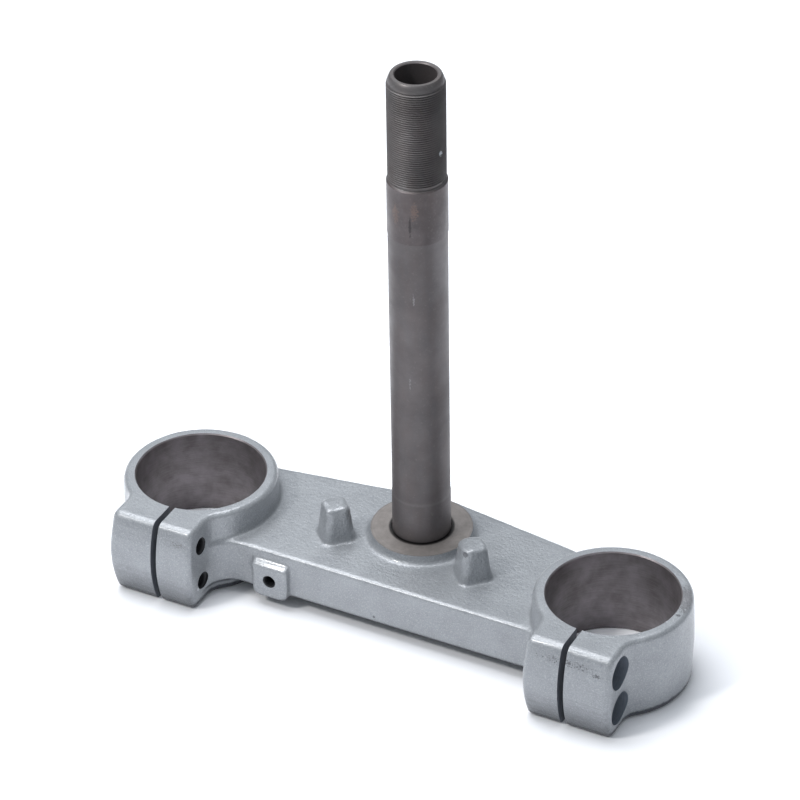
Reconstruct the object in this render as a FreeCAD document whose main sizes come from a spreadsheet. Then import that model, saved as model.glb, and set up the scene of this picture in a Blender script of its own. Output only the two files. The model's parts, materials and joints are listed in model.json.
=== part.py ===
import FreeCAD, Part
import math
import os
import Sketcher
from FreeCAD import Vector

# Lower triple clamp of a motorcycle: one cast yoke and the steering stem pressed into it.
# The origin is on the steering axis, at the face that the lower bearing sits on.
# X runs across the bike, Y towards the rider, Z up the steering stem.

# Driving dimensions in millimetres, angles in degrees
DRIVING = {
    # fork clamps
    "fork_spacing": 195.0,
    "fork_offset": 17.5,
    "fork_bore": 56.0,
    "ring_wall": 5.9,
    "clamp_height": 40.0,
    "clamp_rise": 9.0,
    "draft_angle": 2.0,
    # pinch ears in front of each fork bore
    "ear_width": 39.8,
    "ear_reach": 46.2,
    "crown_radius": 47.6,
    "ear_blend": 8.0,
    "ear_edge": 3.5,
    "clamp_break": 1.4,
    "slot_width": 2.7,
    "slot_shift": 2.1,
    "pinch_ahead": 35.5,
    "pinch_lift": 0.9,
    "pinch_spacing": 18.0,
    "pinch_head": 14.6,
    "pinch_head_depth": 9.0,
    "pinch_shank": 8.6,
    "pinch_thread": 6.8,
    "pinch_mouth": 7.8,
    "pinch_mouth_depth": 0.7,
    # bridge between the clamps
    "bridge_drop": 4.1,
    "bridge_depth": 20.5,
    "bridge_front": 22.8,
    "corner_end": 11.4,
    "bridge_back": 28.0,
    "bridge_shoulder": 31.0,
    "bridge_wall": 6.5,
    "channel_depth": 12.5,
    "rib_width": 6.0,
    "rib_depth": 9.0,
    # hub that holds the stem
    "seat_width": 43.6,
    "seat_slope": 0.5,
    "seat_toe": 1.4,
    "hub_width": 41.0,
    "hub_below": 2.5,
    "stem_root": 26.2,
    "root_below_seat": 0.8,
    "hub_chamfer": 1.0,
    # steering stops on the bridge
    "stop_across": 32.4,
    "stop_ahead": 16.6,
    "stop_reach": 10.2,
    "stop_height": 16.3,
    "stop_draft": 6.0,
    "stop_round": 3.2,
    # drilled pad on the front of the bridge
    "pad_across": 50.7,
    "pad_width": 16.8,
    "pad_height": 17.3,
    "pad_below": 4.7,
    "pad_reach": 3.3,
    "pad_root": 6.0,
    "pad_round": 3.5,
    "pad_bevel": 2.0,
    "pad_hole": 5.0,
    "pad_hole_depth": 13.0,
    "pad_mouth": 6.0,
    "pad_hole_below": 8.5,
    # cast edges
    "edge_break": 0.9,
    "bridge_round": 1.5,
    "bore_chamfer": 0.5,
    # steering stem
    "stem_rise": 220.7,
    "stem_bore": 17.1,
    "seat_fit": 25.0,
    "stem_tube": 24.6,
    "lower_seat": 19.3,
    "upper_seat_start": 148.0,
    "upper_seat_end": 172.8,
    "thread_width": 24.0,
    "lead_in": 3.9,
    "lead_in_depth": 1.4,
    "step_length": 0.4,
    "foot_chamfer": 1.0,
    "mouth_chamfer": 0.5,
}

# How far joined outlines are sunk into the solid, and cutting outlines run past it
OVERLAP = 1.0
OVERRUN = 6.0
# Depth of a 118 degree drill point for each millimetre of the drill's radius
DRILL_POINT = 0.6


class Size:
    """A length with its number and the sheet formula that gives it."""

    def __init__(self, value, formula):
        self.value = value
        self.formula = formula

    def combine(self, sign, other, value):
        text = other.formula if isinstance(other, Size) else repr(other)
        return Size(value, f"({self.formula} {sign} {text})")

    def __add__(self, other):
        return self.combine("+", other, self.value + number(other))

    def __sub__(self, other):
        return self.combine("-", other, self.value - number(other))

    def __mul__(self, other):
        return self.combine("*", other, self.value * number(other))

    def __truediv__(self, other):
        return self.combine("/", other, self.value / number(other))

    def __neg__(self):
        return Size(-self.value, f"(0 - {self.formula})")


def number(size):
    return size.value if isinstance(size, Size) else size


doc = FreeCAD.newDocument("triple_clamp")
sheet = doc.addObject("Spreadsheet::Sheet", "sizes")
for row, (alias, value) in enumerate(DRIVING.items(), start=1):
    sheet.set(f"A{row}", alias)
    sheet.set(f"B{row}", repr(value))
    sheet.setAlias(f"B{row}", alias)
doc.recompute()


def size(alias):
    return Size(DRIVING[alias], f"sizes.{alias}")


def bind(feature, path, length):
    feature.setExpression(path, length.formula)


def new_body(name):
    body = doc.addObject("PartDesign::Body", name)
    body.Label = name
    body.AllowCompound = True
    return body


def origin_plane(body, role):
    return [item for item in body.Origin.OriginFeatures if item.Role == role][0]


def new_sketch(body, name, role, height=None):
    """A sketch on one of the body's origin planes, lifted by height along the plane's normal."""
    sketch = body.newObject("Sketcher::SketchObject", name)
    sketch.AttachmentSupport = [(origin_plane(body, role), "")]
    sketch.MapMode = "FlatFace"
    if height is not None:
        bind(sketch, "AttachmentOffset.Base.z", height)
    return sketch


def constrain(sketch, kind, *where):
    """Adds a constraint; a Size at the end becomes its driving formula."""
    last = where[-1]
    if isinstance(last, Size):
        index = sketch.addConstraint(Sketcher.Constraint(kind, *where[:-1], last.value))
        bind(sketch, f"Constraints[{index}]", last)
    else:
        index = sketch.addConstraint(Sketcher.Constraint(kind, *where))
    return index


def pin(sketch, curve, end, across, along):
    """Holds a point of a sketch at its two distances from the sketch's origin."""
    constrain(sketch, "DistanceX", -1, 1, curve, end, across)
    constrain(sketch, "DistanceY", -1, 1, curve, end, along)


def polygon(sketch, corners):
    """A closed outline of straight lines through corners given as pairs of sizes."""
    points = [Vector(number(across), number(along), 0) for across, along in corners]
    lines = []
    for start, end in zip(points, points[1:] + points[:1]):
        lines.append(sketch.addGeometry(Part.LineSegment(start, end), False))
    for line, following in zip(lines, lines[1:] + lines[:1]):
        constrain(sketch, "Coincident", line, 2, following, 1)
    for line, (across, along) in zip(lines, corners):
        pin(sketch, line, 1, across, along)
    return lines


def circle(sketch, across, along, width):
    centre = Vector(number(across), number(along), 0)
    ring = sketch.addGeometry(Part.Circle(centre, Vector(0, 0, 1), width.value / 2), False)
    constrain(sketch, "Diameter", ring, width)
    pin(sketch, ring, 3, across, along)
    return ring


def arc(sketch, centre, radius, start, end):
    """An arc about a point, anticlockwise from one angle to the other, in radians."""
    curve = Part.Circle(Vector(*centre, 0), Vector(0, 0, 1), radius)
    return sketch.addGeometry(Part.ArcOfCircle(curve, start, end), False)


def line(sketch, start, end):
    return sketch.addGeometry(Part.LineSegment(Vector(*start, 0), Vector(*end, 0)), False)


def mirror(body, name, originals):
    """Repeats features on the other side of the bike's middle plane."""
    copy = body.newObject("PartDesign::Mirrored", name)
    copy.Originals = originals
    copy.MirrorPlane = (origin_plane(body, "YZ_Plane"), [""])
    body.Tip = copy
    doc.recompute()
    return copy


def finish_edges(body, kind, name, base, amount, wanted):
    """Rounds or chamfers the edges of the solid so far that the test picks out."""
    names = []
    for index, edge in enumerate(base.Shape.Edges, start=1):
        if wanted(edge):
            names.append(f"Edge{index}")
    finish = body.newObject(f"PartDesign::{kind}", name)
    finish.Base = (base, names)
    bind(finish, "Radius" if kind == "Fillet" else "Size", amount)
    body.Tip = finish
    doc.recompute()
    return finish


def round_edges(body, name, base, radius, wanted):
    return finish_edges(body, "Fillet", name, base, radius, wanted)


def bevel_edges(body, name, base, width, wanted):
    return finish_edges(body, "Chamfer", name, base, width, wanted)


def close(one, other, slack=0.01):
    return abs(one - other) < slack


def heights(edge):
    """Lowest and highest point of an edge."""
    box = edge.BoundBox
    return box.ZMin, box.ZMax


# Lengths that several features share
fork_x = size("fork_spacing") / 2
fork_y = -size("fork_offset")
clamp_top = size("clamp_rise")
clamp_middle = clamp_top - size("clamp_height") / 2
clamp_bottom = clamp_top - size("clamp_height")
bridge_top = -size("bridge_drop")
bridge_bottom = bridge_top - size("bridge_depth")
hub_bottom = bridge_bottom - size("hub_below")
ring_radius = size("fork_bore") / 2 + size("ring_wall")
front_wall = fork_y - size("bridge_front")

yoke = new_body("yoke")


# Bridge: flat front, back walls that fall away from the hub, corners that sweep into the ears
ear_side = fork_x - size("ear_width") / 2
corner = size("ear_reach") - size("bridge_front") - size("corner_end")
sweep_end = front_wall - corner - OVERLAP
back_middle = size("bridge_back")
back_end = fork_y + size("bridge_shoulder")
outline = new_sketch(yoke, "bridge_outline", "XY_Plane", bridge_bottom)
polygon(outline, [
    (-ear_side, front_wall),
    (ear_side, front_wall),
    (ear_side, sweep_end),
    (fork_x, sweep_end),
    (fork_x, back_end),
    (0.0, back_middle),
    (-fork_x, back_end),
    (-fork_x, sweep_end),
    (-ear_side, sweep_end),
])
bridge = yoke.newObject("PartDesign::Pad", "bridge")
bridge.Profile = outline
bind(bridge, "Length", size("bridge_depth"))
doc.recompute()


def upright(edge, across, along):
    """True for a vertical edge at a place given in plan."""
    start = edge.Vertexes[0].Point
    end = edge.Vertexes[-1].Point
    same = close(start.x, end.x) and close(start.y, end.y)
    return same and close(abs(start.x), across) and close(start.y, along)


round_edges(yoke, "bridge_corners", bridge, corner,
            lambda edge: upright(edge, ear_side.value, front_wall.value))
bridge = round_edges(yoke, "bridge_back_round", yoke.Tip, size("bridge_back"),
                     lambda edge: upright(edge, 0.0, back_middle.value))


def bridge_edge(edge):
    """True for the top edges of the front wall, its swept corners and the back walls."""
    low_z, high_z = heights(edge)
    on_top = close(low_z, bridge_top.value) and close(high_z, bridge_top.value)
    inner = edge.BoundBox.XMax - edge.BoundBox.XMin > 5
    return on_top and inner and edge.BoundBox.YMin > sweep_end.value + 0.1


bridge = round_edges(yoke, "bridge_rounds", bridge, size("bridge_round"), bridge_edge)

# Channel under the bridge, closed off later by the hub and the rings
wall = size("bridge_wall")
inside = new_sketch(yoke, "channel_outline", "XY_Plane", bridge_bottom)
polygon(inside, [
    (-fork_x, front_wall + wall),
    (fork_x, front_wall + wall),
    (fork_x, back_end - wall),
    (0.0, back_middle - wall),
    (-fork_x, back_end - wall),
])
channel = yoke.newObject("PartDesign::Pocket", "channel")
channel.Profile = inside
channel.Reversed = True
bind(channel, "Length", size("channel_depth"))
doc.recompute()

# Lengthwise ribs that stiffen the channel between the hub and each ring
rib_plan = new_sketch(yoke, "rib_outline", "XY_Plane", bridge_bottom + size("channel_depth"))
rib_middle = fork_y / 2
polygon(rib_plan, [
    (-fork_x, rib_middle - size("rib_width") / 2),
    (fork_x, rib_middle - size("rib_width") / 2),
    (fork_x, rib_middle + size("rib_width") / 2),
    (-fork_x, rib_middle + size("rib_width") / 2),
])
rib = yoke.newObject("PartDesign::Pad", "rib")
rib.Profile = rib_plan
rib.Reversed = True
bind(rib, "Length", size("rib_depth"))
doc.recompute()

# Hub round the stem: raised bearing seat above, plain collar below
seat = size("seat_width") / 2
seat_foot = seat + size("seat_slope")
toe = seat_foot + size("seat_toe")
collar = size("hub_width") / 2
collar_top = bridge_bottom + size("channel_depth") + OVERLAP
hub_profile = new_sketch(yoke, "hub_profile", "XZ_Plane")
polygon(hub_profile, [
    (0.0, hub_bottom),
    (collar, hub_bottom),
    (collar, collar_top),
    (toe, collar_top),
    (toe, bridge_top),
    (seat_foot, bridge_top + size("seat_toe")),
    (seat, 0.0),
    (0.0, 0.0),
])
hub = yoke.newObject("PartDesign::Revolution", "hub")
hub.Profile = hub_profile
hub.ReferenceAxis = (hub_profile, ["V_Axis"])
hub.Angle = 360
doc.recompute()

# Fork clamp: a ring with its pinch ear, drafted both ways from a parting line at mid height
ring = ring_radius
ear_half = size("ear_width") / 2
blend = size("ear_blend")
clamp_plan = new_sketch(yoke, "clamp_outline", "XY_Plane", clamp_middle)
fork = (fork_x.value, fork_y.value)
blend_x = ear_half.value + blend.value
blend_y = -math.sqrt((ring.value + blend.value) ** 2 - blend_x ** 2)
lean = math.atan2(blend_y, blend_x)
ear_front = fork[1] - DRIVING["ear_reach"]
round_ring = arc(clamp_plan, fork, ring.value, lean, math.pi - lean)
left_blend = arc(clamp_plan, (fork[0] - blend_x, fork[1] + blend_y), blend.value, 0, -lean)
left_side = line(clamp_plan, (fork[0] - ear_half.value, fork[1] + blend_y),
                 (fork[0] - ear_half.value, ear_front))
front_side = line(clamp_plan, (fork[0] - ear_half.value, ear_front),
                  (fork[0] + ear_half.value, ear_front))
right_side = line(clamp_plan, (fork[0] + ear_half.value, ear_front),
                  (fork[0] + ear_half.value, fork[1] + blend_y))
right_blend = arc(clamp_plan, (fork[0] + blend_x, fork[1] + blend_y), blend.value,
                  math.pi + lean, math.pi)
pin(clamp_plan, round_ring, 3, fork_x, fork_y)
constrain(clamp_plan, "Radius", round_ring, ring)
constrain(clamp_plan, "Tangent", round_ring, 2, left_blend, 2)
constrain(clamp_plan, "Tangent", left_blend, 1, left_side, 1)
constrain(clamp_plan, "Coincident", left_side, 2, front_side, 1)
constrain(clamp_plan, "Coincident", front_side, 2, right_side, 1)
constrain(clamp_plan, "Tangent", right_side, 2, right_blend, 2)
constrain(clamp_plan, "Tangent", right_blend, 1, round_ring, 1)
constrain(clamp_plan, "Radius", left_blend, blend)
constrain(clamp_plan, "Radius", right_blend, blend)
pin(clamp_plan, front_side, 1, fork_x - ear_half, fork_y - size("ear_reach"))
pin(clamp_plan, front_side, 2, fork_x + ear_half, fork_y - size("ear_reach"))
constrain(clamp_plan, "Vertical", left_side)
constrain(clamp_plan, "Vertical", right_side)
clamp = yoke.newObject("PartDesign::Pad", "clamp")
clamp.Profile = clamp_plan
clamp.SideType = "Two sides"
bind(clamp, "Length", size("clamp_height") / 2)
bind(clamp, "Length2", size("clamp_height") / 2)
bind(clamp, "TaperAngle", -size("draft_angle"))
bind(clamp, "TaperAngle2", -size("draft_angle"))
doc.recompute()
clamps = mirror(yoke, "clamps", [clamp])

# Crowned front of the ears, rounded into their top and bottom faces
crown = size("crown_radius")
edge = size("ear_edge")
crown_y = fork_y - size("ear_reach") + crown
half_height = DRIVING["clamp_height"] / 2
front_profile = new_sketch(yoke, "ear_front_profile", "YZ_Plane")
drop = half_height - edge.value
edge_y = crown_y.value - math.sqrt((crown.value - edge.value) ** 2 - drop ** 2)
turn = math.atan2(drop, edge_y - crown_y.value)
middle = clamp_middle.value
far_y = crown_y.value - crown.value - OVERRUN
crown_arc = arc(front_profile, (crown_y.value, middle), crown.value, turn, 2 * math.pi - turn)
top_arc = arc(front_profile, (edge_y, middle + drop), edge.value, math.pi / 2, turn)
low_arc = arc(front_profile, (edge_y, middle - drop), edge.value, -turn, -math.pi / 2)
high = clamp_top.value + OVERRUN
low = clamp_bottom.value - OVERRUN
top_rise = line(front_profile, (edge_y, clamp_top.value), (edge_y, high))
top_run = line(front_profile, (edge_y, high), (far_y, high))
front_run = line(front_profile, (far_y, high), (far_y, low))
low_run = line(front_profile, (far_y, low), (edge_y, low))
low_rise = line(front_profile, (edge_y, low), (edge_y, clamp_bottom.value))
constrain(front_profile, "Tangent", top_arc, 2, crown_arc, 1)
constrain(front_profile, "Tangent", crown_arc, 2, low_arc, 1)
constrain(front_profile, "Coincident", top_arc, 1, top_rise, 1)
constrain(front_profile, "Coincident", top_rise, 2, top_run, 1)
constrain(front_profile, "Coincident", top_run, 2, front_run, 1)
constrain(front_profile, "Coincident", front_run, 2, low_run, 1)
constrain(front_profile, "Coincident", low_run, 2, low_rise, 1)
constrain(front_profile, "Coincident", low_rise, 2, low_arc, 2)
constrain(front_profile, "Radius", crown_arc, crown)
constrain(front_profile, "Radius", top_arc, edge)
constrain(front_profile, "Radius", low_arc, edge)
pin(front_profile, crown_arc, 3, crown_y, clamp_middle)
constrain(front_profile, "DistanceY", -1, 1, top_arc, 1, clamp_top)
constrain(front_profile, "DistanceY", -1, 1, low_arc, 2, clamp_bottom)
constrain(front_profile, "Vertical", top_arc, 1, top_arc, 3)
constrain(front_profile, "Vertical", low_arc, 2, low_arc, 3)
constrain(front_profile, "Vertical", top_rise)
constrain(front_profile, "Vertical", low_rise)
constrain(front_profile, "Vertical", front_run)
constrain(front_profile, "Horizontal", top_run)
constrain(front_profile, "Horizontal", low_run)
constrain(front_profile, "DistanceY", top_rise, 1, top_rise, 2, OVERRUN)
constrain(front_profile, "DistanceY", low_rise, 1, low_rise, 2, OVERRUN)
constrain(front_profile, "DistanceX", front_run, 1, crown_arc, 3, crown + OVERRUN)
crown_cut = yoke.newObject("PartDesign::Pocket", "ear_front")
crown_cut.Profile = front_profile
crown_cut.SideType = "Symmetric"
bind(crown_cut, "Length", size("fork_spacing") * 2)
doc.recompute()


# Cast edges of the clamps: their top and bottom outlines and the upright corners of the ears
def clamp_edge(edge):
    box = edge.BoundBox
    low_z, high_z = heights(edge)
    flat = close(low_z, high_z)
    on_face = flat and (close(low_z, clamp_top.value) or close(low_z, clamp_bottom.value))
    across_ear = flat and close(box.YMin, box.YMax) and box.XLength > 1
    ear_corner = not flat and box.XLength < 1 and box.YMax < edge_y + 0.1
    return (on_face and not across_ear) or ear_corner


bevel_edges(yoke, "clamp_edges", crown_cut, size("clamp_break"), clamp_edge)

# Steering stops: tapered square pegs set cornerwise on the bridge
stop_x = size("stop_across")
stop_y = -size("stop_ahead")
stop_reach = size("stop_reach")
stop_plan = new_sketch(yoke, "stop_outline", "XY_Plane", bridge_top - OVERLAP)
polygon(stop_plan, [
    (stop_x + stop_reach, stop_y),
    (stop_x, stop_y + stop_reach),
    (stop_x - stop_reach, stop_y),
    (stop_x, stop_y - stop_reach),
])
stop = yoke.newObject("PartDesign::Pad", "stop")
stop.Profile = stop_plan
bind(stop, "Length", size("stop_height") + OVERLAP)
bind(stop, "TaperAngle", -size("stop_draft"))
doc.recompute()
stops = mirror(yoke, "stops", [stop])
stop_top = (bridge_top + size("stop_height")).value


def stop_corner(edge):
    low_z, high_z = heights(edge)
    return close(high_z, stop_top) and close(low_z, bridge_top.value)


round_edges(yoke, "stop_corners", stops, size("stop_round"), stop_corner)
bevel_edges(yoke, "stop_tops", yoke.Tip, size("edge_break"),
            lambda edge: close(heights(edge)[0], stop_top))

# Drilled pad on the front wall, left of the middle
pad_x = -size("pad_across")
pad_top = bridge_top - size("pad_below")
pad_bottom = pad_top - size("pad_height")
pad_face = front_wall - size("pad_reach")
pad_root = wall + size("pad_root")
pad_plan = new_sketch(yoke, "pad_outline", "XZ_Plane", -front_wall - pad_root)
pad_left = (pad_x - size("pad_width") / 2).value
pad_right = (pad_x + size("pad_width") / 2).value
curl = DRIVING["pad_round"]
low = pad_bottom.value
left_arc = arc(pad_plan, (pad_left + curl, low + curl), curl, math.pi, 1.5 * math.pi)
foot_line = line(pad_plan, (pad_left + curl, low), (pad_right - curl, low))
right_arc = arc(pad_plan, (pad_right - curl, low + curl), curl, 1.5 * math.pi, 2 * math.pi)
right_line = line(pad_plan, (pad_right, low + curl), (pad_right, pad_top.value))
top_line = line(pad_plan, (pad_right, pad_top.value), (pad_left, pad_top.value))
left_line = line(pad_plan, (pad_left, pad_top.value), (pad_left, low + curl))
constrain(pad_plan, "Tangent", left_arc, 2, foot_line, 1)
constrain(pad_plan, "Tangent", foot_line, 2, right_arc, 1)
constrain(pad_plan, "Tangent", right_arc, 2, right_line, 1)
constrain(pad_plan, "Coincident", right_line, 2, top_line, 1)
constrain(pad_plan, "Coincident", top_line, 2, left_line, 1)
constrain(pad_plan, "Tangent", left_line, 2, left_arc, 1)
constrain(pad_plan, "Radius", left_arc, size("pad_round"))
constrain(pad_plan, "Radius", right_arc, size("pad_round"))
pin(pad_plan, right_line, 2, pad_x + size("pad_width") / 2, pad_top)
pin(pad_plan, left_line, 1, pad_x - size("pad_width") / 2, pad_top)
constrain(pad_plan, "Vertical", right_line)
constrain(pad_plan, "DistanceY", -1, 1, foot_line, 1, pad_bottom)
constrain(pad_plan, "Horizontal", foot_line)
pad = yoke.newObject("PartDesign::Pad", "front_pad")
pad.Profile = pad_plan
bind(pad, "Length", size("pad_reach") + pad_root)
doc.recompute()


def pad_brow(edge):
    """True for the pad's top front edge."""
    box = edge.BoundBox
    return close(box.ZMin, pad_top.value) and close(box.YMin, pad_face.value) and close(box.YMax, pad_face.value)


bevel_edges(yoke, "pad_brow", pad, size("pad_bevel"), pad_brow)

# Machined features: fork bores, slots, pinch bolt holes, stem bore and the pad's hole
bore_plan = new_sketch(yoke, "fork_bore_plan", "XY_Plane", clamp_top + OVERLAP)
circle(bore_plan, fork_x, fork_y, size("fork_bore"))
circle(bore_plan, -fork_x, fork_y, size("fork_bore"))
bores = yoke.newObject("PartDesign::Pocket", "fork_bores")
bores.Profile = bore_plan
bind(bores, "Length", size("clamp_height") + OVERLAP * 2)
doc.recompute()


def level_circle(edge, width):
    """True for a level round edge as wide as the named size."""
    round_one = edge.Curve.TypeId == "Part::GeomCircle"
    return round_one and close(edge.Curve.Radius, width.value / 2) and close(*heights(edge))


bevel_edges(yoke, "fork_bore_mouths", bores, size("bore_chamfer"),
            lambda edge: level_circle(edge, size("fork_bore")))

slot_x = fork_x - size("slot_shift")
slot_half = size("slot_width") / 2
slot_front = fork_y - size("ear_reach") - OVERLAP
for side, middle_x in (("right", slot_x), ("left", -slot_x)):
    slot_plan = new_sketch(yoke, f"slot_plan_{side}", "XY_Plane", clamp_top + OVERLAP)
    polygon(slot_plan, [
        (middle_x - slot_half, slot_front),
        (middle_x + slot_half, slot_front),
        (middle_x + slot_half, fork_y),
        (middle_x - slot_half, fork_y),
    ])
    slot = yoke.newObject("PartDesign::Pocket", f"slot_{side}")
    slot.Profile = slot_plan
    bind(slot, "Length", size("clamp_height") + OVERLAP * 2)
    doc.recompute()

pinch_y = fork_y - size("pinch_ahead")
pinch_middle = clamp_middle + size("pinch_lift")
head = pinch_y + size("pinch_head") / 2
shank = pinch_y + size("pinch_shank") / 2
thread = pinch_y + size("pinch_thread") / 2
mouth = pinch_y + size("pinch_mouth") / 2
ear_outer = fork_x + ear_half
head_seat = ear_outer - size("pinch_head_depth")
mouth_end = ear_side + size("pinch_mouth_depth")
pinch_holes = []
for level, rise in (("upper", size("pinch_spacing") / 2), ("lower", -size("pinch_spacing") / 2)):
    hole_plan = new_sketch(yoke, f"pinch_profile_{level}", "XY_Plane", pinch_middle + rise)
    lines = polygon(hole_plan, [
        (ear_outer + OVERRUN, head),
        (head_seat, head),
        (head_seat, shank),
        (slot_x, shank),
        (slot_x, thread),
        (mouth_end + (mouth - thread), thread),
        (mouth_end, mouth),
        (ear_side - OVERRUN, mouth),
        (ear_side - OVERRUN, pinch_y),
        (ear_outer + OVERRUN, pinch_y),
    ])
    hole = yoke.newObject("PartDesign::Groove", f"pinch_hole_{level}")
    hole.Profile = hole_plan
    hole.ReferenceAxis = (hole_plan, [f"Edge{lines[-2] + 1}"])
    hole.Angle = 360
    doc.recompute()
    pinch_holes.append(hole)
mirror(yoke, "pinch_holes", pinch_holes)

stem_plan = new_sketch(yoke, "stem_bore_plan", "XY_Plane")
circle(stem_plan, 0.0, 0.0, size("stem_root"))
stem_hole = yoke.newObject("PartDesign::Pocket", "stem_bore")
stem_hole.Profile = stem_plan
bind(stem_hole, "Length", -hub_bottom + OVERLAP)
doc.recompute()


def foot_edge(edge):
    return level_circle(edge, size("stem_root")) and close(heights(edge)[0], hub_bottom.value)


bevel_edges(yoke, "stem_bore_mouth", stem_hole, size("hub_chamfer"), foot_edge)

pad_hole_z = pad_top - size("pad_hole_below")
drill_plan = new_sketch(yoke, "pad_hole_profile", "XY_Plane", pad_hole_z)
drill = size("pad_hole") / 2
drill_mouth = size("pad_mouth") / 2
drill_end = pad_face + size("pad_hole_depth")
lines = polygon(drill_plan, [
    (pad_x, pad_face - OVERLAP),
    (pad_x + drill_mouth, pad_face - OVERLAP),
    (pad_x + drill_mouth, pad_face),
    (pad_x + drill, pad_face + (drill_mouth - drill)),
    (pad_x + drill, drill_end),
    (pad_x, drill_end + drill * DRILL_POINT),
])
pad_hole = yoke.newObject("PartDesign::Groove", "pad_hole")
pad_hole.Profile = drill_plan
pad_hole.ReferenceAxis = (drill_plan, [f"Edge{lines[-1] + 1}"])
pad_hole.Angle = 360
doc.recompute()

# Steering stem: a turned tube with two bearing seats and a threaded top
stem = new_body("steering_stem")
stem_profile = new_sketch(stem, "stem_profile", "XZ_Plane")
bore = size("stem_bore") / 2
tube = size("stem_tube") / 2
root = size("stem_root") / 2
fit = size("seat_fit") / 2
thread_radius = size("thread_width") / 2
step = size("step_length")
foot = hub_bottom
rise = size("stem_rise")
polygon(stem_profile, [
    (bore, foot),
    (root - size("foot_chamfer"), foot),
    (root, foot + size("foot_chamfer")),
    (root, -size("root_below_seat")),
    (fit, -size("root_below_seat")),
    (fit, size("lower_seat")),
    (tube, size("lower_seat") + step),
    (tube, size("upper_seat_start")),
    (fit, size("upper_seat_start") + step),
    (fit, size("upper_seat_end") - step),
    (thread_radius, size("upper_seat_end")),
    (thread_radius, rise - size("lead_in")),
    (thread_radius - size("lead_in_depth"), rise),
    (bore + size("mouth_chamfer"), rise),
    (bore, rise - size("mouth_chamfer")),
])
turned = stem.newObject("PartDesign::Revolution", "turned_stem")
turned.Profile = stem_profile
turned.ReferenceAxis = (stem_profile, ["V_Axis"])
turned.Angle = 360
doc.recompute()

# Every feature has to be sound before a shape is written
for item in doc.Objects:
    if "Invalid" in item.State or "Error" in item.State:
        raise RuntimeError(f"{item.Name} failed: {item.State}")
os.makedirs("parts", exist_ok=True)
for body in (yoke, stem):
    shape = body.Shape
    if shape.isNull() or not shape.isValid() or len(shape.Solids) != 1:
        raise RuntimeError(f"{body.Label} is not one valid solid")
    shape.exportStep(f"parts/{body.Label}.step")
    print(body.Label, round(shape.Volume, 1), len(shape.Faces), shape.BoundBox)
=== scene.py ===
import json
import math
import bmesh
import bpy
import numpy as np
from mathutils import Matrix, Vector, noise


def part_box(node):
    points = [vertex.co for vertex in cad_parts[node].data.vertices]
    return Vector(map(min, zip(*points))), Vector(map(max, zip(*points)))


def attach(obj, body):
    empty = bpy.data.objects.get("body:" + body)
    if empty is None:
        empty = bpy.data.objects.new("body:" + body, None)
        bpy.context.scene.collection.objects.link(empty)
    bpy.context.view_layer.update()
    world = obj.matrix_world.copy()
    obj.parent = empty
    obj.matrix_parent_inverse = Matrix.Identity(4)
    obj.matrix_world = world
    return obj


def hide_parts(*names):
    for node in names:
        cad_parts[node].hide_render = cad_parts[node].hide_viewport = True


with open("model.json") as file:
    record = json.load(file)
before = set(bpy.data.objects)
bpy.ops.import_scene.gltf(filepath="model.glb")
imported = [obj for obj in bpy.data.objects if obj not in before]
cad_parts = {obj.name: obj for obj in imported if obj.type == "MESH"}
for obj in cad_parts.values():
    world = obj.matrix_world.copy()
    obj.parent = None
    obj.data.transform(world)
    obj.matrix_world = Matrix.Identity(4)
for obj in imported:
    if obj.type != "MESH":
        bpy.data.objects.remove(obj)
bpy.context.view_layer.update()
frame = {"nodes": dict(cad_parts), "record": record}

# Sizes in metres; the mounts and boxes of the frame give most places and widths
MM = 0.001
MOUNTS = {mount["name"]: mount for mount in frame["record"]["mounts"]}


def place_of(name):
    return Vector(MOUNTS[name]["pos_m"])


def dim_of(name, dim):
    return MOUNTS[name]["dims"][dim] * MM


fork = place_of("fork_clamp_right")
fork_radius = dim_of("fork_clamp_right", "r_mm")
pinch = place_of("pinch_threads_right")
pinch_rise = dim_of("pinch_threads_right", "spacing_y_mm") / 2
pinch_tap = dim_of("pinch_threads_right", "hole_r_mm")
pad_hole = place_of("pad_hole")
pad_tap = dim_of("pad_hole", "r_mm")
seat_radius = dim_of("lower_bearing_seat", "r_mm")
thread_radius = dim_of("stem_thread", "r_mm")
stem_bore_radius = dim_of("stem_bore", "r_mm")
yoke_low, yoke_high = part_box("yoke")
stem_low, stem_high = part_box("steering_stem")
floor_z = yoke_low.z
stop_top = yoke_high.z
root_radius = stem_high.x
hub_foot = stem_low.z
half_clamp = fork.z - floor_z

# Machined shapes of the yoke
SLOT_SHIFT = 2.1 * MM
SLOT_WIDTH = 2.7 * MM
EAR_HALF = 19.9 * MM
EAR_REACH = 46.2 * MM
HEAD_RADIUS = 7.3 * MM
HEAD_DEPTH = 9.0 * MM
SHANK_RADIUS = 4.3 * MM
MOUTH_RADIUS = 3.9 * MM
MOUTH_DEPTH = 0.7 * MM
BORE_CHAMFER = 0.5 * MM
HUB_CHAMFER = 1.0 * MM
HUB_FACE = 21.8 * MM
BRIDGE_TOP = -4.1 * MM
PAD_FACE = -43.6 * MM
PAD_MOUTH = 3.0 * MM
PAD_DRILL = 13.0 * MM
DRILL_POINT = 0.6

# Steering stem, heights above the hub's face
ROOT_TOP = -0.8 * MM
TUBE_RADIUS = 12.3 * MM
LOWER_SEAT_TOP = 19.3 * MM
UPPER_SEAT = (148.0 * MM, 172.8 * MM)
THREAD_PITCH = 1.0 * MM
THREAD_DEPTH = 0.61 * MM
LEAD_IN = 3.9 * MM
LEAD_IN_DEPTH = 1.4 * MM
STEP = 0.4 * MM

# How the casting is softened: its grain, how far corners fill and edges round
VOXEL = 0.5 * MM
FILL_STEPS = 16
ROUND_STEPS = 12
KEPT_FACES = 0.22

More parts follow.
